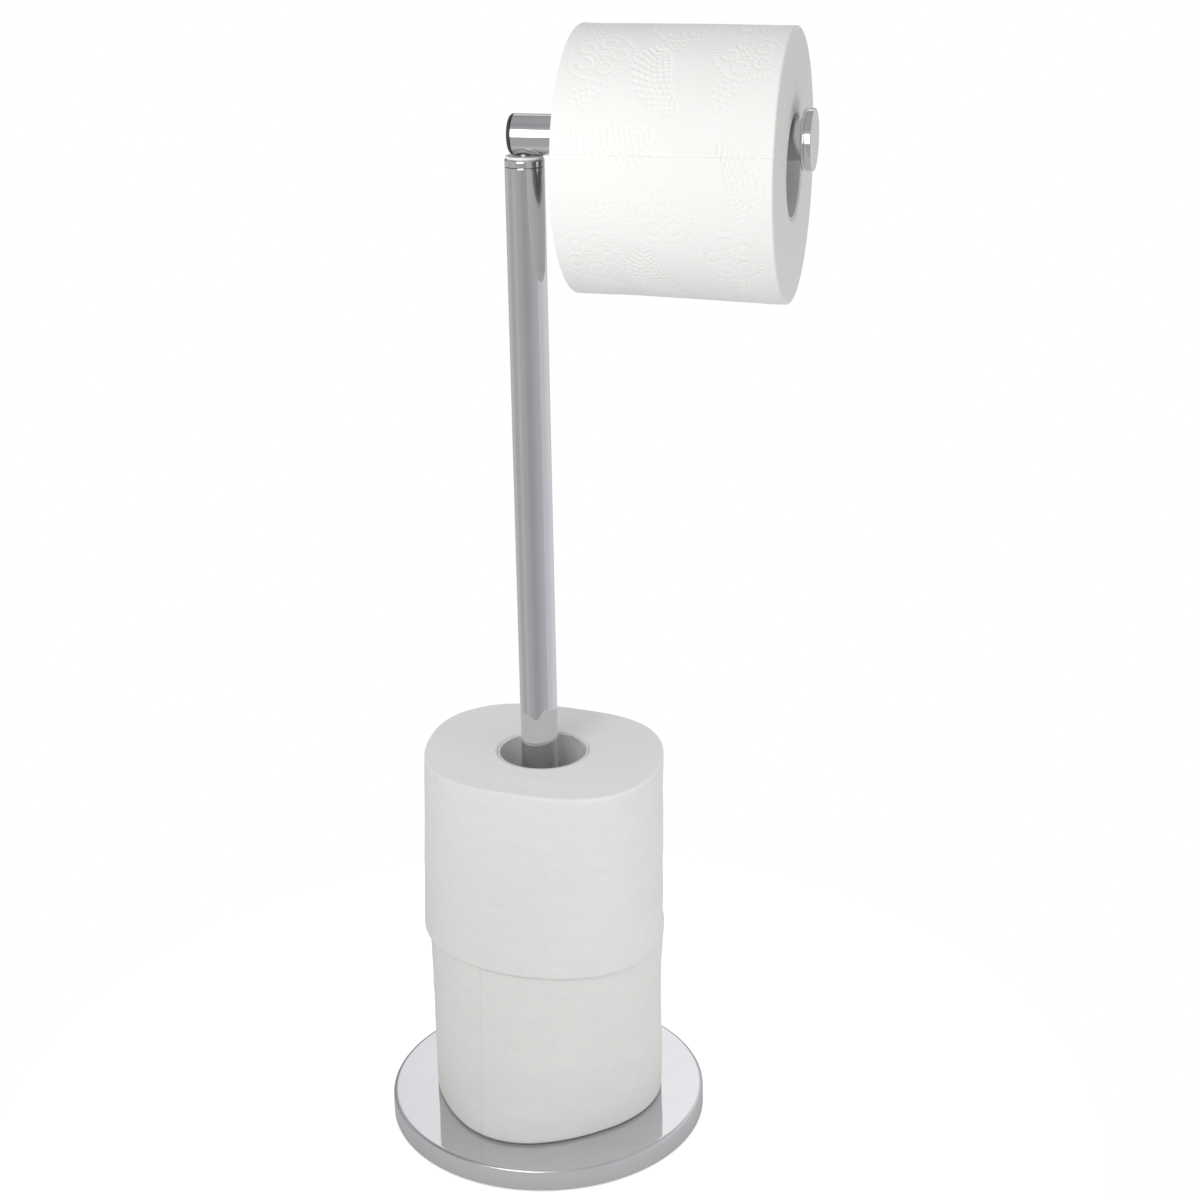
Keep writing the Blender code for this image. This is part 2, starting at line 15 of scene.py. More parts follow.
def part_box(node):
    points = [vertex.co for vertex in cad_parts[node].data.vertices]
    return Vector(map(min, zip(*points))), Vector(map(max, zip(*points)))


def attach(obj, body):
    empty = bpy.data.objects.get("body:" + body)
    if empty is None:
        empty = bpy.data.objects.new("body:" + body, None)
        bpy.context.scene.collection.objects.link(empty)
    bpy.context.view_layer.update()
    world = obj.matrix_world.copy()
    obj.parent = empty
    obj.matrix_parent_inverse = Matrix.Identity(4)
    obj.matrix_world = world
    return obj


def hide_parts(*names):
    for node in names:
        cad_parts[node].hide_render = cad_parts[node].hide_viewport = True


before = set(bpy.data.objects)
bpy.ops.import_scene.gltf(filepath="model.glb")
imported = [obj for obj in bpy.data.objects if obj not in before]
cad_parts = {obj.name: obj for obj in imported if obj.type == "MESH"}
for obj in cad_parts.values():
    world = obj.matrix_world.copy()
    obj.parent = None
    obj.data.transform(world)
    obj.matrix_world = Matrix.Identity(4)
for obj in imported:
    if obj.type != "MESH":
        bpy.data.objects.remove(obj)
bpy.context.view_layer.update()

X, Z = 0, 2  # axes by number

# Camera, fitted to the photograph's 1200 x 1200 frame
CAMERA_PLACE = Vector((0.27049, -0.96346, 0.66232))
CAMERA_FORWARD = Vector((-0.22430, 0.91109, -0.34583))
CAMERA_ROLL = -0.015
FRAME_PIXELS = 1200
FOCAL_PIXELS = 2110
SENSOR_WIDTH_MM = 36
CAMERA_NEAR = 0.01

# Floor
FLOOR_RADIUS = 0.30
FLOOR_SIDES = 96
FLOOR_COLOUR = (0.80, 0.80, 0.805)
FLOOR_WHITE_SEEN = 0.62  # added for the camera, so that the lit floor reads as white paper
FLOOR_WHITE_IN_METAL = 0.03

# Soft light: the room, a strong panel in front, and a weaker one lower down on the right
ROOM_LIGHT = (0.622, 0.622, 0.622)
KEY_PLACE = Vector((-0.08, -0.52, 0.64))
KEY_AIM = Vector((0.14, 0.0, 0.60))
KEY_SIZE = (0.37, 0.37)
KEY_RADIANCE = 3.7
FILL_PLACE = Vector((0.58, -0.14, 0.22))
FILL_AIM = Vector((0.0, 0.0, 0.13))
FILL_SIZE = (0.26, 0.22)
FILL_RADIANCE = 2.75

# What metal sees: zones by elevation, each with its colours by azimuth
MIRRORED_LEVEL = 1.18
MIRRORED_FLOOR = (
    (-180, (0.57, 0.57, 0.575)), (-168, (0.58, 0.58, 0.585)), (-156, (0.66, 0.66, 0.67)),
    (-146, (0.42, 0.42, 0.425)), (-138, (0.46, 0.46, 0.465)), (-122, (0.56, 0.56, 0.565)),
    (-104, (0.53, 0.53, 0.535)), (-84, (0.44, 0.44, 0.445)), (-68, (0.46, 0.46, 0.465)),
    (-52, (0.53, 0.53, 0.535)), (-39, (0.46, 0.46, 0.463)), (-14, (0.43, 0.43, 0.433)),
    (-5, (0.39, 0.39, 0.393)), (12, (0.38, 0.38, 0.385)), (24, (0.40, 0.40, 0.403)),
    (33, (0.42, 0.42, 0.423)), (46, (0.455, 0.455, 0.47)), (71, (0.50, 0.50, 0.53)),
    (84, (0.63, 0.63, 0.66)), (100, (0.61, 0.61, 0.64)), (116, (0.68, 0.675, 0.70)),
    (136, (0.72, 0.72, 0.74)), (158, (0.69, 0.69, 0.70)), (170, (0.57, 0.57, 0.575)),
    (180, (0.57, 0.57, 0.575)),
)
MIRRORED_LOW_WALLS = (
    (-180, (0.37, 0.37, 0.375)), (-168, (0.32, 0.32, 0.325)), (-157, (0.22, 0.22, 0.225)),
    (-125, (0.24, 0.24, 0.245)), (-90, (0.50, 0.50, 0.505)), (-50, (0.55, 0.55, 0.55)),
    (0, (0.50, 0.50, 0.50)), (90, (0.60, 0.60, 0.62)), (150, (0.50, 0.50, 0.51)),
    (180, (0.40, 0.40, 0.405)),
)
MIRRORED_WALLS = (
    (-180, (1.03, 1.03, 1.04)), (-170, (1.01, 1.015, 1.03)), (-161, (0.90, 0.907, 0.92)),
    (-148, (0.66, 0.66, 0.67)), (-130, (0.50, 0.50, 0.505)), (-90, (0.50, 0.50, 0.505)),
    (0, (0.50, 0.50, 0.50)), (90, (0.60, 0.60, 0.62)), (120, (0.80, 0.80, 0.82)),
    (150, (1.00, 1.00, 1.01)), (180, (1.03, 1.03, 1.04)),
)
MIRRORED_CEILING = (
    (-180, (0.40, 0.402, 0.415)), (-150, (0.36, 0.362, 0.37)), (-120, (0.24, 0.24, 0.245)),
    (-75, (0.22, 0.22, 0.225)), (-45, (0.30, 0.30, 0.305)), (-20, (0.40, 0.40, 0.408)),
    (60, (0.40, 0.40, 0.41)), (100, (0.55, 0.55, 0.56)), (140, (0.45, 0.45, 0.46)),
    (180, (0.40, 0.402, 0.415)),
)
MIRRORED_ZENITH = ((-180, (0.40, 0.40, 0.41)), (180, (0.40, 0.40, 0.41)))
ZONE_STARTS = (  # degrees of elevation over which one zone goes into the next
    ((-4.0, 3.0), MIRRORED_LOW_WALLS), ((24.0, 29.0), MIRRORED_WALLS),
    ((37.0, 43.0), MIRRORED_CEILING), ((60.0, 70.0), MIRRORED_ZENITH),
)

# Materials: the height of each one's relief, and other lengths in them
PLATING_WAVE = 0.00004
POLISH_LINE = 0.0000006
BASE_MIRROR_RADIUS = 0.0832  # the edge round the mirror-bright top is satin
SATIN_FADE = 0.0006
SATIN_ROUGHNESS = 0.26
ZINC_GRAIN = 0.00002
IRON_GRAIN = 0.00018
FOAM_CELL = 0.00015
MOULD_GRAIN = 0.00001
BOARD_RIDGE = 0.00012
BOARD_STRIP = 0.062  # how far the seam climbs in one turn
BOARD_SEAM_SHARE = 0.008  # of a turn, from the seam's middle to where it ends
SHEET_RELIEF = (0.00004, 0.00009, 0.00006, 0.0001)  # crepe lines, soft hills, fibres, unevenness
SPARE_RELIEF = (0.00007, 0.000198, 0.000132, 0.0006)
END_RELIEF = (0.00012, 0.00016)  # rings and fibres
FINE_RING_PITCH = 0.0006
BROAD_RING_PITCH = 0.0031
WAVE_PERIOD = 2 * math.pi / 20  # of a ring wave texture, in its own units

# Chrome and plastic pieces, finer than the solids they stand for
TURN_STEPS = 192
CORNER_STEPS = 6
SUPPORT_SHARE = 0.35  # of a corner's radius, from the corner to its support edge
SMOOTH_BELOW = math.radians(30.0)
JOIN_DISTANCE = 0.000001  # between the points that meet on the axis
FIT_GAP = 0.0003
BASE_SHEET = 0.001
BASE_HOLE = 0.0033
BASE_EDGE_RADIUS = 0.0021
BASE_BEND_RADIUS = 0.0004
TUBE_WALL = 0.001
TUBE_EDGE_RADIUS = 0.00025
HEAD_EDGE_RADIUS = 0.0010
HEAD_FLANGE = 0.0036
HEAD_BORE = 0.0059
COLLAR_RADIUS = 0.0089
SHARP_EDGE_RADIUS = 0.0001
CAP_FLANGE = 0.0018
CAP_EDGE_RADIUS = 0.0016
STOP_EDGE_RADIUS = 0.0004
STOP_BEAD = 0.0015
STOP_GROOVE_WIDTH = 0.0007
STOP_GROOVE_DEPTH = 0.0004

# Rolls
ROLL_RADIUS = 0.0615
HOLE_RADIUS = 0.0238
CORE_SHORT = 0.00052  # how far the core lies below each end of the paper
ROUND_STEPS = 420
END_ROWS = 26
RIM_ROWS = 8
SIDE_ROWS = 84
END_SINK = 0.0002
LUMPS = ((0.00035, 11, 5), (0.00012, 40, 16))  # height, and how many round and along
TURN_PITCH = 0.0029  # of the rings that show on a roll's end
END_WAVES = (0.00008, 0.0003)  # height of those rings, and of a slower unevenness
SHEET_EDGE_WIDTH = 0.00012
SPARE_LAP = 0.0001

# Outlines of a roll's two ends: lobes as (how many, share of the radius, angle in degrees)
ARM_ROLL_FORM = ([(1, 0.0276, 180)], [(1, 0.0179, 180)])
LOWER_ROLL_FORM = (
    [(2, 0.020, 68), (4, 0.030, 82)],
    [(0, 0.0053, 0), (1, 0.0134, -103), (2, 0.0567, -30), (3, 0.0108, -14), (4, 0.0160, -41)],
)
UPPER_ROLL_FORM = (
    [(0, 0.0137, 0), (1, 0.0337, -128), (2, 0.0741, -21), (3, 0.0037, -22), (4, 0.0101, -42)],
    [(1, 0.0073, 63), (2, 0.077, 158), (4, 0.036, 45)],
)

# Rims of a roll's two ends: crisp and soft radius, the angle where it is softest, and how sharply
PLAIN_RIM = (0.0002, 0.0002, 0, 1)
LOWER_ROLL_RIMS = ((0.0020, 0.0024, 0, 1), (0.0002, 0.0034, -14, 14))
UPPER_ROLL_RIMS = (PLAIN_RIM, (0.0006, 0.0018, -40, 4))

# Bent places on a rim: the end, the angle, the width as a share of the radius, the reach along the
# roll, and how far it stands out and lifts
CURL = (16, 0.42, 0.012)  # angle, width and reach where the spare rolls' rims curl up
LOWER_ROLL_FLARES = ((1, *CURL, 0.0018, 0.0048),)
UPPER_ROLL_FLARES = ((0, *CURL, 0.0, 0.0076), (0, 16, 0.5, 0.045, -0.0013, 0.0))

# Hollows in an upper end: the place in the roll's own axes, the width and the depth
UPPER_ROLL_HOLLOWS = ((0.010, 0.0365, 0.013, 0.0012),)

# The hung roll's outer turn, made of sheets with a pressed pattern
ARM_LAP = 0.0002
ARM_ROLL_BELLY = 0.0014  # how far the loose paper hangs below, towards the arm's free end
SHEETS = 4
SHEET_COLUMNS = 322
SHEET_ROWS = 300
SHEET_RIM_ROWS = 6
SHEET_RIM_RADIUS = 0.0009
SHEET_TUCKS = ((0.0004, 0.0019), (0.00005, 0.0016))  # height and inset of the rows on the end
WOUND_BELOW_SHEET = 0.0013
SHEET_LUMPS = ((0.00016, 26, 7), (0.00030, 9, 3))  # height, and how many round and along
LUMPY_MARGIN = 0.012  # from a roll's end, where the sheet's unevenness fades in
EDGE_VALLEY_DEPTHS = (0.0001, 0.0009)  # below and above the sheet's free edge
EDGE_VALLEY_WIDTH = 0.0045
PRESS_DEPTH = 0.00037
PLAIN_MARGIN = (0.0010, 0.004)  # from a roll's end, where the pressed pattern fades in
TEAR_PITCH = 0.0016
TEAR_DEPTH = 0.00022
TEAR_WANDER = 0.0005
TEAR_REACH = 0.004  # how far from the free edge its tear still moves the sheet
PERFORATION_WIDTH = 0.0004
PERFORATION_DEPTH = 0.00020
PERFORATION_OPEN_SHARE = 0.62

# The pressed pattern
PATTERN_COLUMNS = 8
PATTERN_ROWS = 3
PATTERN_SHIFT = 0.003  # at most, of a motif along the roll
BLOSSOM_SIZES = (0.0155, 0.0175)
FROND_LENGTH = 0.040
FROND_START = (0.017, 0.012)  # back from its place, round and along the roll
SPRAY_SIZES = (0.0085, 0.011)
SPRAY_SHIFT = 0.004
LEAFLET_LEAN = math.radians(52)
LEAFLET_HALF_LENGTH = 0.0004
ANY_TURN = (0.0, 6.28)
DOTS = {  # radius of each kind of dot, and its share of the depth
    "blossom_middle": (0.0008, 0.9), "blossom_ring": (0.0006, 0.9), "petal": (0.00061, 1.0),
    "blossom_rim": (0.00059, 0.9), "stem": (0.0007, 0.8), "leaflet": (0.00064, 1.0),
    "spray": (0.00068, 0.95),
}


def smoothstep(low, high, value):
    share = np.clip((value - low) / (high - low), 0.0, 1.0)
    return share * share * (3 - 2 * share)


def value_noise(seed, u, v, cells_u, cells_v):
    """Smooth noise from -1 to 1 over u and v in 0..1, which closes on itself along u."""
    random = np.random.default_rng(seed)
    grid = random.uniform(-1.0, 1.0, (cells_u, cells_v + 1))
    at_u = (u % 1.0) * cells_u
    at_v = np.clip(v, 0.0, 1.0) * cells_v
    i = np.floor(at_u).astype(int)
    j = np.minimum(np.floor(at_v).astype(int), cells_v - 1)
    across = smoothstep(0.0, 1.0, at_u - i)
    along = smoothstep(0.0, 1.0, at_v - j)
    i, following = i % cells_u, (i + 1) % cells_u
    near = grid[i, j] * (1 - across) + grid[following, j] * across
    far = grid[i, j + 1] * (1 - across) + grid[following, j + 1] * across
    return near * (1 - along) + far * along


def between(ends, share):
    return ends[0] + (ends[1] - ends[0]) * share


def angle_off(angle, middle):
    """The signed angle from middle, at most half a turn."""
    return np.angle(np.exp(1j * (angle - middle)))


def flat_place(radius, angle):
    return radius * np.cos(angle), radius * np.sin(angle)


def even(value):
    return (value, value, value)


def grained(across, axis, along):
    """The same value on every axis, but another along one of them, if any."""
    return tuple(along if i == axis else across for i in range(3))


def scaled(colour, share):
    return tuple(share * c for c in colour)


def beyond(place, reach, angle):
    """The point at a distance and an angle from a place."""
    return place[0] + reach * math.cos(angle), place[1] + reach * math.sin(angle)


class Nodes:
    """A tree of shader nodes, and short ways to add to it."""

    def __init__(self, tree):
        self.tree = tree

    def feed(self, socket, value):
        """Link a socket to another, or give it a number, a vector or a colour."""
        if isinstance(value, bpy.types.NodeSocket):
            self.tree.links.new(value, socket)
        elif socket.type == "RGBA" and len(value) == 3:
            socket.default_value = (*value, 1.0)
        else:
            socket.default_value = value

    def node(self, kind, inputs=(), **settings):
        made = self.tree.nodes.new(kind)
        for name, value in settings.items():
            setattr(made, name, value)
        for name, value in dict(inputs).items():
            self.feed(made.inputs[name], value)
        return made

    def calculate(self, operation, first, second=0.0):
        made = self.node("ShaderNodeMath", {0: first, 1: second}, operation=operation)
        return made.outputs[0]

    def mix(self, share, base, colour):
        """A colour laid over another by share."""
        made = self.node("ShaderNodeMix", {"Factor": share, "A": base, "B": colour}, data_type="RGBA")
        return made.outputs["Result"]

    def spread(self, value, low, high, to_low=0.0, to_high=1.0, **settings):
        return self.node("ShaderNodeMapRange", {
            "Value": value, "From Min": low, "From Max": high, "To Min": to_low, "To Max": to_high},
            **settings).outputs["Result"]


class Look(Nodes):
    """A material built from nodes. Its coordinates are the piece's own, in metres."""

    def __init__(self, name, roughness=0.5, metallic=0.0):
        self.material = bpy.data.materials.new(name)
        self.material.use_nodes = True
        super().__init__(self.material.node_tree)
        self.shader = self.tree.nodes["Principled BSDF"]
        self.set("Roughness", roughness)
        self.set("Metallic", metallic)
        self.place = self.node("ShaderNodeTexCoord").outputs["Object"]

    def set(self, socket, value):
        self.feed(self.shader.inputs[socket], value)

    def stretched(self, per_metre):
        """The place, with as many units to the metre along each axis."""
        scale = self.node("ShaderNodeVectorMath", {0: self.place, 1: per_metre}, operation="MULTIPLY")
        return scale.outputs[0]

    def noise(self, per_metre, detail=3.0, roughness=0.55, distortion=0.0):
        return self.node("ShaderNodeTexNoise", {
            "Vector": self.stretched(per_metre), "Scale": 1.0, "Detail": detail,
            "Roughness": roughness, "Distortion": distortion}).outputs["Fac"]

    def rings(self, axis, pitch, distortion, detail_scale):
        """Uneven rings about an axis, from 0 to 1."""
        return self.node("ShaderNodeTexWave", {
            "Vector": self.place, "Scale": WAVE_PERIOD / pitch, "Distortion": distortion,
            "Detail": 2.0, "Detail Scale": detail_scale},
            wave_type="RINGS", rings_direction="XYZ"[axis]).outputs["Fac"]

    def relief(self, height, distance, over=None):
        """The height as a bump, over another relief if there is one."""
        made = self.node("ShaderNodeBump", {"Height": height, "Distance": distance, "Strength": 1.0})
        if over is not None:
            self.feed(made.inputs["Normal"], over)
        return made.outputs["Normal"]


def chrome_look(name, along=None, satin_beyond=None):
    """Bright plating with a few soft finger marks, and faint polishing lines along an axis, if any.
    Beyond a distance from the Z axis, if any, the plating is satin."""
    look = Look(name, metallic=1.0)
    cloud = look.noise(even(38.0), detail=2.0)
    look.set("Base Color", look.mix(cloud, (0.635, 0.64, 0.65), (0.675, 0.68, 0.69)))
    marks = look.noise(even(95.0), detail=5.0, roughness=0.65, distortion=0.6)
    smudge = look.spread(marks, 0.52, 0.78, 0.0, 0.05)
    lines = grained(900.0, along, 14.0)
    polish = look.spread(look.noise(lines, detail=2.0), 0.35, 0.65, 0.022, 0.045)
    roughness = look.calculate("ADD", polish, smudge)
    if satin_beyond is not None:
        flat = look.stretched((1.0, 1.0, 0.0))
        reach = look.node("ShaderNodeVectorMath", {0: flat}, operation="LENGTH").outputs["Value"]
        satin = look.spread(reach, satin_beyond - SATIN_FADE, satin_beyond, 0.0, SATIN_ROUGHNESS)
        roughness = look.calculate("ADD", roughness, satin)
    look.set("Roughness", roughness)
    wave = look.relief(look.noise(even(26.0), detail=1.0), PLATING_WAVE)
    look.set("Normal", look.relief(look.noise(lines, detail=1.0), POLISH_LINE, over=wave))
    return look.material


def zinc_look():
    look = Look("zinc_plate", metallic=1.0)
    grain = look.noise(even(650.0), detail=4.0)
    look.set("Base Color", look.mix(grain, (0.52, 0.53, 0.545), (0.66, 0.665, 0.67)))
    look.set("Roughness", look.spread(grain, 0.3, 0.7, 0.26, 0.42))
    look.set("Normal", look.relief(grain, ZINC_GRAIN))
    return look.material


def iron_look():
    look = Look("cast_iron", metallic=0.55)
    grain = look.noise(even(420.0), detail=6.0, roughness=0.7)
    pits = look.noise(even(110.0), detail=3.0)
    look.set("Base Color", look.mix(pits, (0.085, 0.085, 0.09), (0.16, 0.155, 0.15)))
    look.set("Roughness", look.spread(grain, 0.3, 0.7, 0.6, 0.85))
    look.set("Normal", look.relief(grain, IRON_GRAIN))
    return look.material


def foam_look():
    look = Look("foam_pad", roughness=0.92)
    cells = look.node("ShaderNodeTexVoronoi", {"Vector": look.stretched(even(900.0)), "Scale": 1.0})
    size = cells.outputs["Distance"]
    look.set("Base Color", look.mix(size, (0.035, 0.035, 0.037), (0.07, 0.07, 0.072)))
    look.set("Normal", look.relief(size, FOAM_CELL))
    return look.material


def moulded_look(name, dark, light, roughness):
    """Moulded plastic with a fine spark-eroded grain."""
    look = Look(name)
    cloud = look.noise(even(140.0), detail=3.0)
    look.set("Base Color", look.mix(cloud, dark, light))
    look.set("Roughness", look.spread(cloud, 0.3, 0.7, roughness - 0.06, roughness + 0.06))
    look.set("Normal", look.relief(look.noise(even(1500.0), detail=2.0), MOULD_GRAIN))
    return look.material


def cardboard_look(name, axis):
    """Grey board, wound on a slant: the seam of each turn runs round the core as a screw line."""
    look = Look(name, roughness=0.93)
    split = look.node("ShaderNodeSeparateXYZ", {"Vector": look.place}).outputs
    across = (split["Y"], split["Z"]) if axis == X else (split["X"], split["Y"])
    along = split["X"] if axis == X else split["Z"]
    turn = look.calculate("DIVIDE", look.calculate("ARCTAN2", *across), 2 * math.pi)
    climb = look.calculate("DIVIDE", along, BOARD_STRIP)
    seam = look.calculate("FRACT", look.calculate("ADD", turn, climb))
    off_seam = look.calculate("ABSOLUTE", look.calculate("SUBTRACT", seam, 0.5))
    gap = look.spread(off_seam, 0.0, BOARD_SEAM_SHARE, 1.0, 0.0)
    fibre = look.noise(grained(700.0, axis, 260.0), detail=5.0, roughness=0.7)
    cloud = look.noise(even(60.0), detail=3.0)
    board = look.mix(fibre, (0.66, 0.665, 0.65), (0.83, 0.835, 0.82))
    board = look.mix(look.spread(cloud, 0.35, 0.7, 0.0, 0.25), board, (0.70, 0.705, 0.69))
    look.set("Base Color", look.mix(gap, board, (0.42, 0.42, 0.405)))
    groove = look.calculate("MULTIPLY", gap, -1.0)
    ridge = look.calculate("ADD", groove, look.calculate("MULTIPLY", fibre, 0.5))
    look.set("Normal", look.relief(ridge, BOARD_RIDGE))
    return look.material


def tissue_look(name, axis, cream, relief):
    """The outer sheet: soft, matt, with crepe lines parallel to the roll's axis and fibre specks.
    Cream is how much less blue than red it reflects."""
    crepe_height, hill_height, fibre_height, uneven_height = relief
    look = Look(name, roughness=0.96)
    crepe = look.noise(grained(1500.0, axis, 170.0), detail=2.0)
    fibre = look.noise(even(700.0), detail=5.0, roughness=0.7)
    cloud = look.noise(even(28.0), detail=3.0)
    light = (0.885, 0.885 - 0.3 * cream, 0.885 - cream)
    shade = (0.85, 0.85 - 0.3 * cream, 0.85 - cream)
    paper = look.mix(look.spread(fibre, 0.3, 0.7), shade, light)
    cloudy = look.spread(cloud, 0.3, 0.75, 0.0, 0.35)
    look.set("Base Color", look.mix(cloudy, paper, scaled(shade, 0.96)))
    look.set("Sheen Weight", 0.08)
    look.set("Sheen Roughness", 0.6)
    rough = look.relief(look.noise(even(110.0), detail=3.0), uneven_height)
    rough = look.relief(look.noise(even(300.0), detail=2.0), hill_height, over=rough)
    rough = look.relief(fibre, fibre_height, over=rough)
    look.set("Normal", look.relief(crepe, crepe_height, over=rough))
    return look.material


def end_look(name, axis, cream, level=0.94):
    """A roll's end: the edges of all its turns, as fine uneven rings."""
    ring_height, fibre_height = END_RELIEF
    look = Look(name, roughness=0.97)
    fine = look.rings(axis, FINE_RING_PITCH, 1.6, 0.6)
    broad = look.rings(axis, BROAD_RING_PITCH, 2.5, 0.4)
    fibre = look.noise(even(900.0), detail=5.0, roughness=0.7)
    light = (level, level, level - cream)
    paper = look.mix(look.calculate("MULTIPLY", fine, fibre), scaled(light, 0.965), light)
    paper = look.mix(look.spread(broad, 0.0, 1.0, 0.0, 0.22), paper, scaled(light, 0.93))
    look.set("Base Color", paper)
    look.set("Sheen Weight", 0.05)
    rough = look.relief(fine, ring_height)
    look.set("Normal", look.relief(fibre, fibre_height, over=rough))
    return look.material


def rounded(corners):
    """An outline through corners, each a radius, a height and how much it is rounded, with edges
    that hold the flats flat beside every rounded corner."""
    points = []
    places = [np.array(corner[:2], float) for corner in corners]
    for i, (corner, (_, _, rounding)) in enumerate(zip(places, corners)):
        if rounding <= 0.0:
            points.append(tuple(corner))
            continue
        before = places[i - 1] - corner
        after = places[(i + 1) % len(places)] - corner
        before_length, after_length = np.linalg.norm(before), np.linalg.norm(after)
        before, after = before / before_length, after / after_length
        half = math.acos(float(np.clip(np.dot(before, after), -1.0, 1.0))) / 2
        reach = rounding / math.tan(half)
        inward = (before + after) / np.linalg.norm(before + after)
        centre = corner + inward * (rounding / math.sin(half))
        start, end = corner + before * reach, corner + after * reach
        support = rounding * SUPPORT_SHARE
        if before_length > 2 * (reach + support):
            points.append(tuple(start + before * support))
        sweep = math.pi - 2 * half
        for step in range(CORNER_STEPS + 1):
            share = step / CORNER_STEPS
            from_start = math.sin((1 - share) * sweep) / math.sin(sweep)
            from_end = math.sin(share * sweep) / math.sin(sweep)
            points.append(tuple(centre + (start - centre) * from_start + (end - centre) * from_end))
        if after_length > 2 * (reach + support):
            points.append(tuple(end + after * support))
    return points


def grid_mesh(name, points, closed_round=True, closed_across=True):
    """A mesh over an array of points: columns round an axis, and the points along each."""
    columns, rows = points.shape[:2]
    index = np.arange(columns * rows).reshape(columns, rows)
    following = np.roll(index, -1, axis=0)
    if not closed_round:
        index, following = index[:-1], following[:-1]
    beside, beside_following = np.roll(index, -1, axis=1), np.roll(following, -1, axis=1)
    if not closed_across:
        index, beside = index[:, :-1], beside[:, :-1]
        following, beside_following = following[:, :-1], beside_following[:, :-1]
    faces = np.stack([index, following, beside_following, beside], axis=-1).reshape(-1, 4)
    mesh = bpy.data.meshes.new(name)
    mesh.from_pydata(points.reshape(-1, 3).tolist(), [], faces.tolist())
    return mesh


def join_and_turn_outward(mesh):
    """Join the points that meet on the axis, and turn the faces outward."""
    shape = bmesh.new()
    shape.from_mesh(mesh)
    bmesh.ops.remove_doubles(shape, verts=shape.verts, dist=JOIN_DISTANCE)
    bmesh.ops.recalc_face_normals(shape, faces=shape.faces)
    shape.to_mesh(mesh)
    shape.free()


def add_object(name, data):
    made = bpy.data.objects.new(name, data)
    bpy.context.scene.collection.objects.link(made)
    return made


def new_piece(name, mesh, materials, body, nodes):
    """A finished piece on its body, in place of the solids it stands for, if any."""
    for material in materials:
        mesh.materials.append(material)
    piece = add_object(name, mesh)
    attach(piece, body)
    if nodes:
        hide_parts(*nodes)


def lathe(name, outline, material, body, node, centre=(0.0, 0.0, 0.0), along_x=False, closed=False,
          instead=True):
    """Turn an outline of (radius, height) about the Z axis, or about X, through centre. The piece
    has the finish of its node, and shows instead of it or beside it."""
    outline = np.array(outline, float)
    radii = outline[:, 0]
    angles = np.arange(TURN_STEPS) * 2 * math.pi / TURN_STEPS
    ring = np.stack([np.outer(np.cos(angles), radii), np.outer(np.sin(angles), radii),
                     np.tile(outline[:, 1], (TURN_STEPS, 1))], axis=-1)
    if along_x:
        ring = ring[..., [2, 0, 1]]
    mesh = grid_mesh(name, ring + np.array(centre, float), closed_across=closed)
    join_and_turn_outward(mesh)
    mesh.shade_smooth()
    mesh.set_sharp_from_angle(angle=SMOOTH_BELOW)
    new_piece(name, mesh, [material], body, [node] if instead else [])


def tube_outline(radius, low, high):
    inner = radius - TUBE_WALL
    places = ((inner, high), (radius, high), (radius, low), (inner, low))
    return rounded([(*place, TUBE_EDGE_RADIUS) for place in places])


def build_stand(upright, plate):
    low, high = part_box("base_shell")
    radius = (high.x - low.x) / 2
    inner = radius - BASE_SHEET
    under = high.z - BASE_SHEET
    outline = rounded([
        (BASE_HOLE, high.z, 0.0), (radius, high.z, BASE_EDGE_RADIUS),
        (radius, low.z, BASE_BEND_RADIUS), (inner, low.z, BASE_BEND_RADIUS),
        (inner, under, BASE_BEND_RADIUS), (BASE_HOLE, under, 0.0)])
    lathe("foot_cover", outline, plate, "stand", "base_shell", closed=True)

    low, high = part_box("post_tube")
    radius = (high.x - low.x) / 2
    outline = tube_outline(radius, low.z, high.z)
    lathe("post", outline, upright, "stand", "post_tube", closed=True)

    low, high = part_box("post_head")
    plug = radius - TUBE_WALL - FIT_GAP
    flange = high.z - HEAD_FLANGE
    outline = rounded([
        (HEAD_BORE, high.z, TUBE_EDGE_RADIUS), (radius, high.z, HEAD_EDGE_RADIUS),
        (radius, flange, TUBE_EDGE_RADIUS), (plug, flange, SHARP_EDGE_RADIUS),
        (plug, low.z, TUBE_EDGE_RADIUS), (HEAD_BORE, low.z, TUBE_EDGE_RADIUS)])
    lathe("head", outline, upright, "stand", "post_head", closed=True)


def build_collar(nylon):
    """The outer part of the bush's flange, which shows as a pale ring under the arm."""
    low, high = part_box("swivel_bush")
    inner = (high.x - low.x) / 2 - FIT_GAP
    _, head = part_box("post_head")
    outline = rounded([
        (inner, high.z, 0.0), (COLLAR_RADIUS, high.z, SHARP_EDGE_RADIUS),
        (COLLAR_RADIUS, head.z, SHARP_EDGE_RADIUS), (inner, head.z, 0.0)])
    lathe("bush_collar", outline, nylon, "swivel_bush", "swivel_bush", closed=True, instead=False)


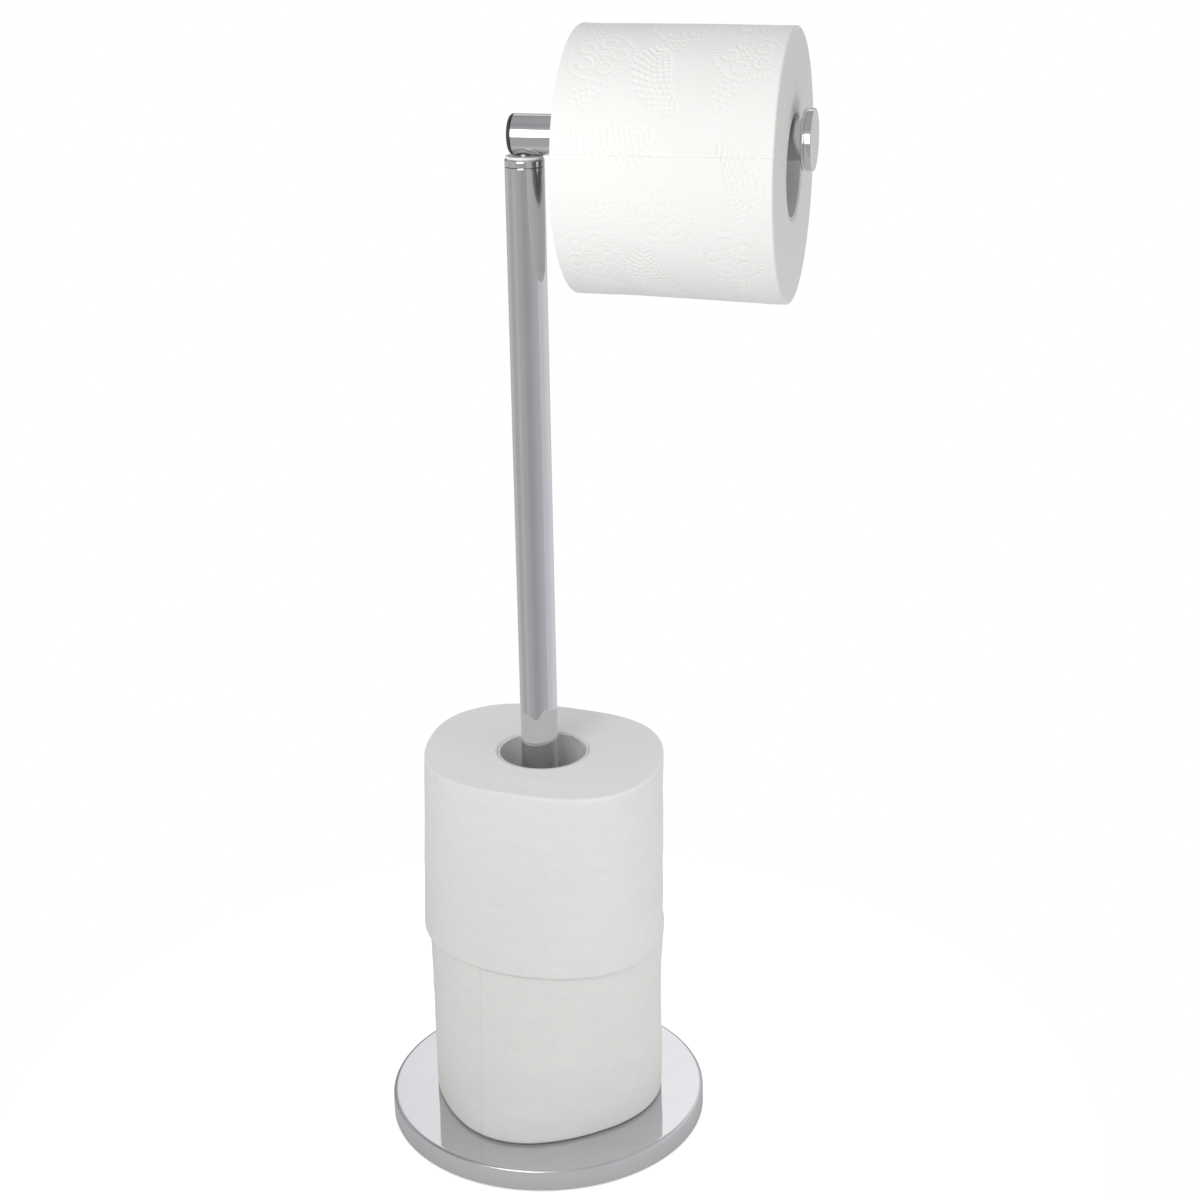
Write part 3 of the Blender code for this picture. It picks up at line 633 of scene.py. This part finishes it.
def build_arm(level, dark):
    low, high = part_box("arm_tube")
    centre = (0.0, 0.0, (low.z + high.z) / 2)
    radius = (high.z - low.z) / 2
    outline = tube_outline(radius, low.x, high.x)
    lathe("arm", outline, level, "arm", "arm_tube", centre, along_x=True, closed=True)

    low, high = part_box("arm_end_cap")
    flange = low.x + CAP_FLANGE
    plug = radius - TUBE_WALL - FIT_GAP
    outline = rounded([
        (0.0, high.x, 0.0), (plug, high.x, SHARP_EDGE_RADIUS), (plug, flange, SHARP_EDGE_RADIUS),
        (radius, flange, SHARP_EDGE_RADIUS), (radius, low.x, CAP_EDGE_RADIUS), (0.0, low.x, 0.0)])
    lathe("arm_cap", outline, dark, "arm", "arm_end_cap", centre, along_x=True)

    low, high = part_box("end_stop")
    radius = (high.z - low.z) / 2
    groove = low.x + STOP_BEAD
    half = STOP_GROOVE_WIDTH / 2
    outline = rounded([
        (0.0, high.x, 0.0), (radius, high.x, STOP_EDGE_RADIUS),
        (radius, groove + half, SHARP_EDGE_RADIUS),
        (radius - STOP_GROOVE_DEPTH, groove, SHARP_EDGE_RADIUS),
        (radius, groove - half, SHARP_EDGE_RADIUS),
        (radius, low.x, STOP_EDGE_RADIUS), (0.0, low.x, 0.0)])
    lathe("stop", outline, level, "arm", "end_stop", centre, along_x=True)


def dress_small_pieces(nylon):
    """New materials on the solids whose shape is already right."""
    looks = {
        "base_weight": iron_look(),
        "base_pad": foam_look(),
        "swivel_bush": nylon,
        "arm_roll_core": cardboard_look("core_board_arm", X),
        "spare_lower_core": cardboard_look("core_board_lower", Z),
        "spare_upper_core": cardboard_look("core_board_upper", Z),
    }
    zinc = zinc_look()
    for name in ("base_bolt", "base_lock_washer", "base_washer", "post_foot_insert", "arm_spigot",
                 "saddle_nut", "arm_front_insert", "end_stop_stud"):
        looks[name] = zinc
    for name, material in looks.items():
        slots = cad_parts[name].data.materials
        slots.clear()
        slots.append(material)


def ring_rows(end_rows, rim_rows, side_rows):
    """Rows round the section of a ring of paper, from its hole by its lower end, its side and its
    upper end back to the hole: the share of the way out, of the rim's bend, and of the height."""
    out = [(share, 0.0, 0.0) for share in np.linspace(0.0, 1.0, end_rows)]
    out += [(1.0, bend, 0.0) for bend in np.linspace(0.0, 1.0, rim_rows + 1)[1:]]
    side = [(1.0, 1.0, rise) for rise in np.linspace(0.0, 1.0, side_rows + 2)[1:-1]]
    back = [(share, bend, 1.0) for share, bend, _ in reversed(out)]
    return out + side + back


class Roll:
    """A roll's form about its own axis, from height 0 up to its length. It is given pairs of values
    at its lower and at its upper end, and angles about the axis in degrees."""

    def __init__(self, core, form, sheet_edge, lap, seed, belly=0.0, lumps=LUMPS,
                 rims=(PLAIN_RIM, PLAIN_RIM), flares=(), hollows=(), along_x=False):
        low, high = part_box(core)
        along = X if along_x else Z
        self.start = low[along] - CORE_SHORT
        self.length = high[along] + CORE_SHORT - self.start
        self.middle = (low + high) / 2
        self.along_x = along_x
        self.form, self.sheet_edge, self.lap = form, math.radians(sheet_edge), lap
        self.seed, self.belly, self.lumps = seed, belly, lumps
        self.rims, self.flares, self.hollows = rims, flares, hollows

    def angle(self, turn):
        """Where a share of the turn comes to about the axis, in radians."""
        return self.sheet_edge + 2 * math.pi * turn

    def outer(self, turn, rise):
        """The radius of the outer side."""
        angle = self.angle(turn)
        outlines = [1 + sum(share * np.cos(count * (angle - math.radians(lobe)))
                            for count, share, lobe in lobes) for lobes in self.form]
        radius = ROLL_RADIUS * between(outlines, rise) + self.lap * (1 - turn)
        radius = radius + self.belly * np.maximum(np.cos(angle), 0.0) ** 2 * smoothstep(0.15, 1.0, rise)
        for *place, out, _ in self.flares:
            radius = radius + out * self.near(turn, rise, *place)
        return radius

    def near(self, turn, rise, end, middle, width, reach):
        """A share that is 1 at a place on one end's rim, and falls off round it."""
        off = angle_off(self.angle(turn), math.radians(middle)) / width
        away = (rise - end) * self.length / reach
        return np.exp(-off ** 2 - away ** 2)

    def rim(self, turn, end):
        """The rim's radius, which goes from crisp to soft about one angle."""
        crisp, soft, middle, sharpness = self.rims[end]
        share = 0.5 + 0.5 * np.cos(self.angle(turn) - math.radians(middle))
        return crisp + (soft - crisp) * share ** sharpness

    def laid(self, radius, angle, height):
        """Points of the model, from places about the roll's own axis."""
        x, y = flat_place(radius, angle)
        if self.along_x:
            return np.stack([self.start + height, self.middle.y + y, self.middle.z - x], axis=-1)
        return np.stack([self.middle.x + x, self.middle.y + y, self.start + height], axis=-1)

    def end_wave(self, turn, share, radius, upper):
        """How far a place on an end stands out: its turns, a slower unevenness, and the hollows."""
        winding = (radius - HOLE_RADIUS) / TURN_PITCH + turn
        ring_height, slow_height = END_WAVES
        wave = ring_height * np.sin(2 * math.pi * winding)
        wave = wave + slow_height * value_noise(self.seed + 3, turn, share, 7, 3)
        x, y = flat_place(radius, self.angle(turn))
        for hollow_x, hollow_y, width, depth in self.hollows:
            away = ((x - hollow_x) ** 2 + (y - hollow_y) ** 2) / width ** 2
            wave = wave - depth * np.exp(-away) * upper
        return wave

    def mesh(self, name, columns, end_rows, rim_rows, side_rows, side_sink=0.0):
        """The whole ring of paper. Slot 0 is its side and slot 1 its two ends."""
        rows = ring_rows(end_rows, rim_rows, side_rows)
        share, bend, rise = (np.array(values)[None, :] for values in zip(*rows))
        turn = np.arange(columns) / columns
        turn[-1] = 1 - SHEET_EDGE_WIDTH / (2 * math.pi * ROLL_RADIUS)
        turn = turn[:, None]

        low_rim, high_rim = self.rim(turn, 0), self.rim(turn, 1)
        rim = np.where(rise < 0.5, low_rim, high_rim)
        outer = self.outer(turn, rise) - side_sink
        for i, (lump, around, along) in enumerate(self.lumps):
            outer = outer + lump * value_noise(self.seed + i, turn, rise, around, along)
        inset = rim * (1 - np.sin(bend * math.pi / 2))
        radius = HOLE_RADIUS + (outer - inset - HOLE_RADIUS) * share
        climb = rim * (1 - np.cos(bend * math.pi / 2))
        height = low_rim + (self.length - low_rim - high_rim) * rise
        height = np.where(rise <= 0.0, climb, np.where(rise >= 1.0, self.length - climb, height))

        outwards = np.where(rise < 0.5, -1.0, 1.0)
        on_end = smoothstep(0.0, 0.12, share) * smoothstep(1.0, 0.9, share)
        wave = self.end_wave(turn, share, radius, rise > 0.5)
        height = height + outwards * on_end * (wave - END_SINK)
        for *place, _, lift in self.flares:
            height = height + lift * share ** 6 * self.near(turn, height / self.length, *place)

        mesh = grid_mesh(name, self.laid(radius, self.angle(turn), height))
        turn_faces_outward(mesh)
        mesh.shade_smooth()
        slots = np.zeros(len(rows), np.int32)
        slots[:end_rows - 1] = 1
        slots[-end_rows:] = 1
        mesh.polygons.foreach_set("material_index", np.tile(slots, columns))
        return mesh


def turn_faces_outward(mesh):
    """Flip a closed mesh whose faces point in."""
    points = np.zeros(len(mesh.vertices) * 3)
    mesh.vertices.foreach_get("co", points)
    points = points.reshape(-1, 3)
    corners = np.zeros(len(mesh.polygons) * 4, int)
    mesh.polygons.foreach_get("vertices", corners)
    a, b, c, d = points[corners.reshape(-1, 4).T]
    volume = sum((first * np.cross(second, third)).sum()
                 for first, second, third in ((a, b, c), (a, c, d)))
    if volume < 0:
        mesh.flip_normals()


def press_dot(marks, place, kind, half_length=(0.0, 0.0)):
    """One more mark: a dot, or a short dash where it has half a length, which is a vector."""
    marks.append((*place, *half_length, *DOTS[kind]))


def blossom(marks, place, size, turn):
    """A round flower of pressed dots: a dotted middle, five open petals, and a scalloped rim."""
    ring_dots, petals, petal_dots, rim_dots = 6, 5, 11, 40
    press_dot(marks, place, "blossom_middle")
    for i in range(ring_dots):
        angle = turn + 2 * math.pi * i / ring_dots
        press_dot(marks, beyond(place, 0.15 * size, angle), "blossom_ring")
    for petal in range(petals):
        middle = turn + 2 * math.pi * petal / petals
        for i in range(petal_dots):
            angle = 2 * math.pi * (i + 0.5) / petal_dots
            on_middle = beyond(place, size * (0.50 - 0.20 * math.cos(angle)), middle)
            across = size * 0.20 * math.sin(angle)
            press_dot(marks, beyond(on_middle, across, middle + math.pi / 2), "petal")
    for i in range(rim_dots):
        angle = 2 * math.pi * i / rim_dots
        reach = size * (0.84 + 0.09 * abs(math.cos(petals * angle / 2)))
        press_dot(marks, beyond(place, reach, turn + angle), "blossom_rim")


def frond(marks, place, size, turn, bend):
    """A curved stem with paired slanting leaflets, all of short pressed marks."""
    heading = turn
    steps = 13
    for i in range(steps):
        place = beyond(place, size / steps, heading)
        heading += bend / steps
        press_dot(marks, place, "stem")
        width = size * 0.26 * math.sin(math.pi * (i + 1.5) / (steps + 1.5)) ** 0.8
        for side in (-1, 1):
            lean = heading + side * LEAFLET_LEAN
            half_length = beyond((0.0, 0.0), LEAFLET_HALF_LENGTH, lean)
            for share in (0.34, 0.68, 1.0):
                press_dot(marks, beyond(place, width * share, lean), "leaflet", half_length)


def spray(marks, place, size, turn):
    """Three nested arcs of dots that open to one side."""
    for ring, share in enumerate((0.3, 0.62, 0.94)):
        count = 3 + 2 * ring
        for i in range(count):
            angle = turn + (i / (count - 1) - 0.5) * 2.0
            press_dot(marks, beyond(place, share * size, angle), "spray")


def pressed_marks(around, length, seed):
    """The pressed pattern over one turn: blossoms and fronds in staggered rows, with sprays between
    them, closing round the roll. Each mark is its place, half its length as a vector, its radius
    and its share of the depth."""
    marks = []
    random = np.random.default_rng(seed)
    pitch = around / PATTERN_COLUMNS
    for column in range(PATTERN_COLUMNS):
        for row in range(PATTERN_ROWS):
            x = (column + 0.5 * (row % 2) + random.uniform(-0.05, 0.05)) * pitch
            y = length * (0.17 + 0.33 * row) + random.uniform(-PATTERN_SHIFT, PATTERN_SHIFT)
            if (column + row) % 2:
                blossom(marks, (x, y), random.uniform(*BLOSSOM_SIZES), random.uniform(*ANY_TURN))
            else:
                turn = random.uniform(0.2, 1.2) + (math.pi if row % 2 else 0.0)
                back_round, back_along = FROND_START
                start = (x - back_round * math.cos(turn), y - back_along * math.sin(turn))
                frond(marks, start, FROND_LENGTH, turn, random.choice([-1.3, 1.3]))
            beside = x + pitch * random.uniform(0.44, 0.56)
            above = y + random.uniform(-SPRAY_SHIFT, SPRAY_SHIFT)
            spray(marks, (beside, above), random.uniform(*SPRAY_SIZES), random.uniform(*ANY_TURN))
    return marks


def press(marks, across, along):
    """Depth of the pressed marks at every point of a grid, from 0 to 1."""
    depth = np.zeros((len(across), len(along)))
    step_across = across[1] - across[0]
    step_along = along[1] - along[0]
    for x, y, half_x, half_y, radius, share in marks:
        reach = 2.2 * radius + math.hypot(half_x, half_y)
        columns = np.arange(int((x - reach) / step_across), int((x + reach) / step_across) + 2)
        first_row = max(int((y - reach - along[0]) / step_along), 0)
        rows = np.arange(first_row, min(int((y + reach - along[0]) / step_along) + 2, len(along)))
        if not len(rows):
            continue
        dx = (columns * step_across - x)[:, None]
        dy = (along[rows] - y)[None, :]
        length_squared = half_x ** 2 + half_y ** 2
        if length_squared > 0:
            share_along = np.clip((dx * half_x + dy * half_y) / length_squared, -1.0, 1.0)
            dx, dy = dx - share_along * half_x, dy - share_along * half_y
        bowl = share * np.exp(-(dx ** 2 + dy ** 2) / radius ** 2)
        block = np.ix_(columns % len(across), rows)
        depth[block] = np.maximum(depth[block], bowl)
    return depth


def sheet_rows(length):
    """Heights and insets of the rows along a sheet, from the fold on one end to that on the other."""
    bend = np.linspace(0.0, math.pi / 2, SHEET_RIM_ROWS)
    tuck_heights, tuck_insets = zip(*SHEET_TUCKS)
    heights = np.concatenate([tuck_heights, SHEET_RIM_RADIUS * (1 - np.cos(bend))])
    insets = np.concatenate([tuck_insets, SHEET_RIM_RADIUS * (1 - np.sin(bend))])
    side = SHEET_ROWS - 2 * len(heights)
    plain = np.linspace(SHEET_RIM_RADIUS, length - SHEET_RIM_RADIUS, side + 2)[1:-1]
    heights = np.concatenate([heights, plain, length - heights[::-1]])
    return heights, np.concatenate([insets, np.zeros(side), insets[::-1]])


def sheet_points(roll, turn, depth, heights, insets):
    """Points of the hung roll's outer turn, at each of turn and along the roll."""
    around = 2 * math.pi * ROLL_RADIUS
    u, height = np.meshgrid(turn, heights, indexing="ij")
    v = height / roll.length
    from_end = np.minimum(height, roll.length - height)
    from_edge = np.minimum(u, 1 - u) * around
    lumps = sum(lump * value_noise(5 + i, u, v, round_count, along_count)
                for i, (lump, round_count, along_count) in enumerate(SHEET_LUMPS))
    valley = np.where(u < 0.5, *EDGE_VALLEY_DEPTHS) * np.exp(-from_edge / EDGE_VALLEY_WIDTH)
    radius = roll.outer(u, v) + lumps * smoothstep(0.0, LUMPY_MARGIN, from_end) - valley - insets
    radius -= PRESS_DEPTH * depth * smoothstep(*PLAIN_MARGIN, from_end)

    notches = height / TEAR_PITCH % 1.0
    to_border = np.abs((u * SHEETS + 0.5) % 1.0 - 0.5) / SHEETS * around
    inside = (u > 0.5 / SHEETS) & (u < 1 - 0.5 / SHEETS)
    slit = np.exp(-(to_border / PERFORATION_WIDTH) ** 2) * (notches < PERFORATION_OPEN_SHARE) * inside
    radius -= PERFORATION_DEPTH * slit
    teeth = TEAR_DEPTH * 2 * np.abs(notches - 0.5) + TEAR_WANDER * value_noise(8, 0.3, v, 2, 6)
    angle = roll.angle(u) + teeth * np.exp(-from_edge / TEAR_REACH) / ROLL_RADIUS
    return roll.laid(radius, angle, height)


def build_arm_roll():
    roll = Roll("arm_roll_core", ARM_ROLL_FORM, sheet_edge=258, lap=ARM_LAP, seed=21,
                belly=ARM_ROLL_BELLY, lumps=(), along_x=True)
    side = tissue_look("tissue_pressed", X, 0.022, SHEET_RELIEF)
    face = end_look("tissue_end_arm", X, 0.012, level=0.90)
    mesh = roll.mesh("arm_roll_wound", columns=300, end_rows=30, rim_rows=3, side_rows=6,
                     side_sink=WOUND_BELOW_SHEET)
    new_piece("arm_roll_wound", mesh, [side, face], "arm_roll", ["arm_roll_paper"])

    around = 2 * math.pi * ROLL_RADIUS
    columns = SHEETS * SHEET_COLUMNS
    turn = np.arange(columns + 1) / columns
    heights, insets = sheet_rows(roll.length)
    depth = np.zeros((columns + 1, SHEET_ROWS))
    side_rows = insets == 0.0
    depth[:-1, side_rows] = press(pressed_marks(around, roll.length, 11), turn[:-1] * around,
                                  heights[side_rows])
    depth[-1] = depth[0]
    turn[-1] = 1 - SHEET_EDGE_WIDTH / around
    for sheet in range(SHEETS):
        part = slice(sheet * SHEET_COLUMNS, (sheet + 1) * SHEET_COLUMNS + 1)
        points = sheet_points(roll, turn[part], depth[part], heights, insets)
        if sheet == SHEETS - 1:
            edge = sheet_points(roll, turn[:1], depth[:1], heights, insets)
            points = np.concatenate([points, edge])
        name = f"arm_roll_sheet_{sheet + 1}"
        mesh = grid_mesh(name, points, closed_round=False, closed_across=False)
        mesh.shade_smooth()
        new_piece(name, mesh, [side], "arm_roll", ["arm_roll_paper"])


def build_spare_roll(name, node, body, roll, cream):
    """A plain wound roll on the post."""
    side = tissue_look("tissue_" + name, Z, cream, SPARE_RELIEF)
    face = end_look("tissue_end_" + name, Z, cream)
    mesh = roll.mesh(name, ROUND_STEPS, END_ROWS, RIM_ROWS, SIDE_ROWS)
    new_piece(name, mesh, [side, face], body, [node])


def build_rolls():
    build_arm_roll()
    lower = Roll("spare_lower_core", LOWER_ROLL_FORM, sheet_edge=251, lap=SPARE_LAP, seed=31,
                 rims=LOWER_ROLL_RIMS, flares=LOWER_ROLL_FLARES)
    build_spare_roll("spare_roll_low", "spare_lower_paper", "spare_roll_lower", lower, 0.026)
    upper = Roll("spare_upper_core", UPPER_ROLL_FORM, sheet_edge=75, lap=SPARE_LAP, seed=47,
                 rims=UPPER_ROLL_RIMS, flares=UPPER_ROLL_FLARES, hollows=UPPER_ROLL_HOLLOWS)
    build_spare_roll("spare_roll_high", "spare_upper_paper", "spare_roll_upper", upper, 0.018)


def build_floor():
    angles = [2 * math.pi * i / FLOOR_SIDES for i in range(FLOOR_SIDES)]
    circle = [(*beyond((0.0, 0.0), FLOOR_RADIUS, angle), 0.0) for angle in angles]
    mesh = bpy.data.meshes.new("floor")
    mesh.from_pydata(circle, [], [tuple(range(FLOOR_SIDES))])
    floor = add_object("floor", mesh)

    look = Look("floor_paper", roughness=0.9)
    grain = look.noise(even(240.0))
    look.set("Base Color", look.mix(grain, scaled(FLOOR_COLOUR, 0.985), FLOOR_COLOUR))
    look.set("Specular IOR Level", 0.0)
    look.set("Emission Color", (1.0, 1.0, 1.0))
    path = look.node("ShaderNodeLightPath").outputs
    seen = look.calculate("MULTIPLY", path["Is Camera Ray"], FLOOR_WHITE_SEEN)
    mirrored = look.calculate("ADD", path["Is Glossy Ray"], path["Is Transmission Ray"])
    mirrored = look.calculate("MULTIPLY", mirrored, FLOOR_WHITE_IN_METAL)
    look.set("Emission Strength", look.calculate("ADD", seen, mirrored))
    mesh.materials.append(look.material)


def mirrored_ramp(nodes, share, stops):
    """The colours of one zone, from -180 to 180 degrees of azimuth as the share goes from 0 to 1."""
    made = nodes.node("ShaderNodeValToRGB", {"Fac": share})
    elements = made.color_ramp.elements
    while len(elements) < len(stops):
        elements.new(0.5)
    for element, (azimuth, colour) in zip(elements, stops):
        element.position = 0.5 + azimuth / 360
        element.color = (*scaled(colour, MIRRORED_LEVEL), 1.0)
    return made.outputs["Color"]


def build_world():
    """White to the camera, an even room to cloth and paper, and a studio to metal: the floor round
    the object, walls with pale and dark flags, and a grey ceiling."""
    world = bpy.data.worlds.new("studio")
    bpy.context.scene.world = world
    world.use_nodes = True
    world.node_tree.nodes.clear()
    nodes = Nodes(world.node_tree)
    direction = nodes.node("ShaderNodeTexCoord").outputs["Generated"]
    split = nodes.node("ShaderNodeSeparateXYZ", {0: direction}).outputs
    azimuth = nodes.calculate("ARCTAN2", split["X"], nodes.calculate("MULTIPLY", split["Y"], -1.0))
    share = nodes.calculate("ADD", nodes.calculate("DIVIDE", azimuth, 2 * math.pi), 0.5)
    elevation = nodes.calculate("ARCSINE", split["Z"])
    studio = mirrored_ramp(nodes, share, MIRRORED_FLOOR)
    for (low, high), stops in ZONE_STARTS:
        past = nodes.spread(elevation, math.radians(low), math.radians(high),
                            interpolation_type="SMOOTHSTEP")
        studio = nodes.mix(past, studio, mirrored_ramp(nodes, share, stops))

    path = nodes.node("ShaderNodeLightPath").outputs
    colour = nodes.mix(path["Is Glossy Ray"], ROOM_LIGHT, studio)
    seen = nodes.calculate("MAXIMUM", path["Is Camera Ray"], path["Is Transmission Ray"])
    colour = nodes.mix(seen, colour, (1.0, 1.0, 1.0))
    background = nodes.node("ShaderNodeBackground", {"Color": colour})
    nodes.node("ShaderNodeOutputWorld", {"Surface": background.outputs[0]})


def build_panel(name, place, aim, size, radiance):
    light = bpy.data.lights.new(name, "AREA")
    light.shape = "RECTANGLE"
    light.size, light.size_y = size
    light.energy = radiance * math.pi * size[0] * size[1]
    lamp = add_object(name, light)
    lamp.location = place
    lamp.rotation_euler = (aim - place).to_track_quat("-Z", "Y").to_euler()
    lamp.visible_camera = False
    return lamp


def build_lights():
    build_panel("key_panel", KEY_PLACE, KEY_AIM, KEY_SIZE, KEY_RADIANCE)
    fill = build_panel("fill_panel", FILL_PLACE, FILL_AIM, FILL_SIZE, FILL_RADIANCE)
    fill.visible_glossy = False


def build_camera():
    data = bpy.data.cameras.new("camera")
    data.sensor_width = SENSOR_WIDTH_MM
    data.lens = SENSOR_WIDTH_MM * FOCAL_PIXELS / FRAME_PIXELS
    data.clip_start = CAMERA_NEAR
    camera = add_object("camera", data)
    camera.location = CAMERA_PLACE
    camera.rotation_mode = "QUATERNION"
    level = CAMERA_FORWARD.to_track_quat("-Z", "Y")
    camera.rotation_quaternion = level @ Quaternion((0.0, 0.0, 1.0), CAMERA_ROLL)
    bpy.context.scene.camera = camera


build_stand(chrome_look("chrome_upright", Z),
            chrome_look("chrome_plate", satin_beyond=BASE_MIRROR_RADIUS))
build_arm(chrome_look("chrome_level", X),
          moulded_look("dark_plastic", (0.032, 0.032, 0.035), (0.05, 0.05, 0.054), 0.34))
white_nylon = moulded_look("nylon", (0.84, 0.84, 0.82), (0.90, 0.90, 0.885), 0.36)
build_collar(white_nylon)
dress_small_pieces(white_nylon)
build_rolls()
build_floor()
build_world()
build_lights()
build_camera()
bpy.context.scene.view_settings.view_transform = "Standard"
